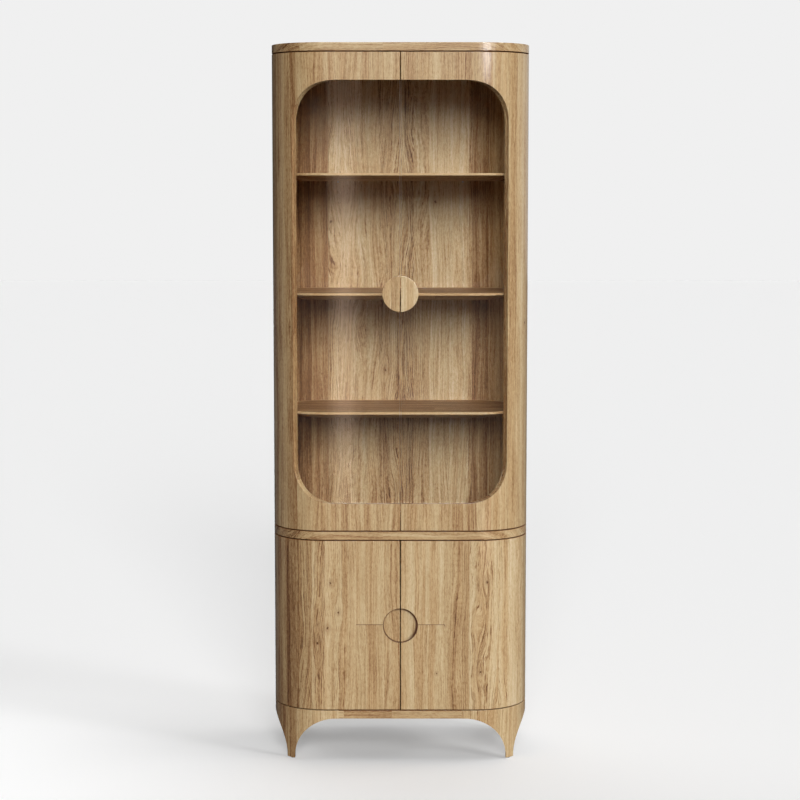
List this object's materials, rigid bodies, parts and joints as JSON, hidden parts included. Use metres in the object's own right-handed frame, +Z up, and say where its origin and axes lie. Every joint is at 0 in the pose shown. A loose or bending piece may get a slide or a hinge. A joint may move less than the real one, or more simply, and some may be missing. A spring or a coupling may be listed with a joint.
{
  "type": "display cabinet",
  "caption": "Tall display cabinet with bent glazed doors over solid bent doors, shelves behind the glass and arched corner legs.",
  "frame": {"origin": "on the floor, at the centre of the cabinet's plan", "axes": "front faces -Y, +X to the right seen from the front, +Z up"},
  "size_m": [0.75, 0.4, 2.09],
  "materials": {
    "oak_slab": "satin oiled oak, long grain across",
    "oak_door": "satin oiled oak veneer, upright grain",
    "oak_side": "satin oiled oak veneer, upright grain",
    "oak_back": "satin oiled oak veneer, upright leaves",
    "oak_shelf": "satin oiled oak, long grain across",
    "oak_leg": "satin oiled solid oak, upright grain",
    "oak_handle": "satin oiled solid oak",
    "oak_trim": "satin oiled solid oak",
    "dowel": "plain beech",
    "glass": "clear polished",
    "steel": "satin",
    "brass": "satin",
    "catch_housing": "matt brown",
    "glide": "matt dark"
  },
  "bodies": {
    "case": {"top_slab": "oak_slab", "mid_slab": "oak_slab", "base_slab": "oak_slab", "leg_front_left": "oak_leg", "leg_front_right": "oak_leg", "leg_rear_left": "oak_leg", "leg_rear_right": "oak_leg", "leg_dowels": "dowel", "foot_glides": "glide", "lower_side_left": "oak_side", "lower_side_right": "oak_side", "lower_back_panel": "oak_back", "lower_back_screws": "steel", "lower_side_dowels": "dowel", "lower_pivot_pins": "steel", "lower_catches": "catch_housing", "upper_side_left": "oak_side", "upper_side_right": "oak_side", "upper_back_panel": "oak_back", "upper_back_screws": "steel", "upper_side_dowels": "dowel", "upper_pivot_pins": "steel", "upper_catches": "catch_housing", "display_shelf_1": "oak_shelf", "display_shelf_1_pins": "steel", "display_shelf_2": "oak_shelf", "display_shelf_2_pins": "steel", "display_shelf_3": "oak_shelf", "display_shelf_3_pins": "steel", "lower_shelf": "oak_shelf", "lower_shelf_pins": "steel"},
    "upper_left_door": {"upper_door_left": "oak_door", "upper_pivot_bushes_left": "brass", "upper_strike_left": "steel", "glass_left": "glass", "glazing_bead_left": "oak_trim", "handle_left": "oak_handle", "handle_backing_left": "oak_trim", "handle_screws_left": "steel"},
    "upper_right_door": {"upper_door_right": "oak_door", "upper_pivot_bushes_right": "brass", "upper_strike_right": "steel", "glass_right": "glass", "glazing_bead_right": "oak_trim", "handle_right": "oak_handle", "handle_backing_right": "oak_trim", "handle_screws_right": "steel"},
    "lower_left_door": {"lower_door_left": "oak_door", "lower_pivot_bushes_left": "brass", "lower_strike_left": "steel"},
    "lower_right_door": {"lower_door_right": "oak_door", "lower_pivot_bushes_right": "brass", "lower_strike_right": "steel"}
  },
  "joints": [
    {"name": "upper_left_hinge", "type": "hinge", "parent": "case", "child": "upper_left_door", "pos_m": [-0.364, -0.045, 1.374], "axis": [0, 0, -1], "range_deg": [0, 95]},
    {"name": "upper_right_hinge", "type": "hinge", "parent": "case", "child": "upper_right_door", "pos_m": [0.364, -0.045, 1.374], "axis": [0, 0, 1], "range_deg": [0, 95]},
    {"name": "lower_left_hinge", "type": "hinge", "parent": "case", "child": "lower_left_door", "pos_m": [-0.364, -0.045, 0.405], "axis": [0, 0, -1], "range_deg": [0, 95]},
    {"name": "lower_right_hinge", "type": "hinge", "parent": "case", "child": "lower_right_door", "pos_m": [0.364, -0.045, 0.405], "axis": [0, 0, 1], "range_deg": [0, 95]}
  ]
}
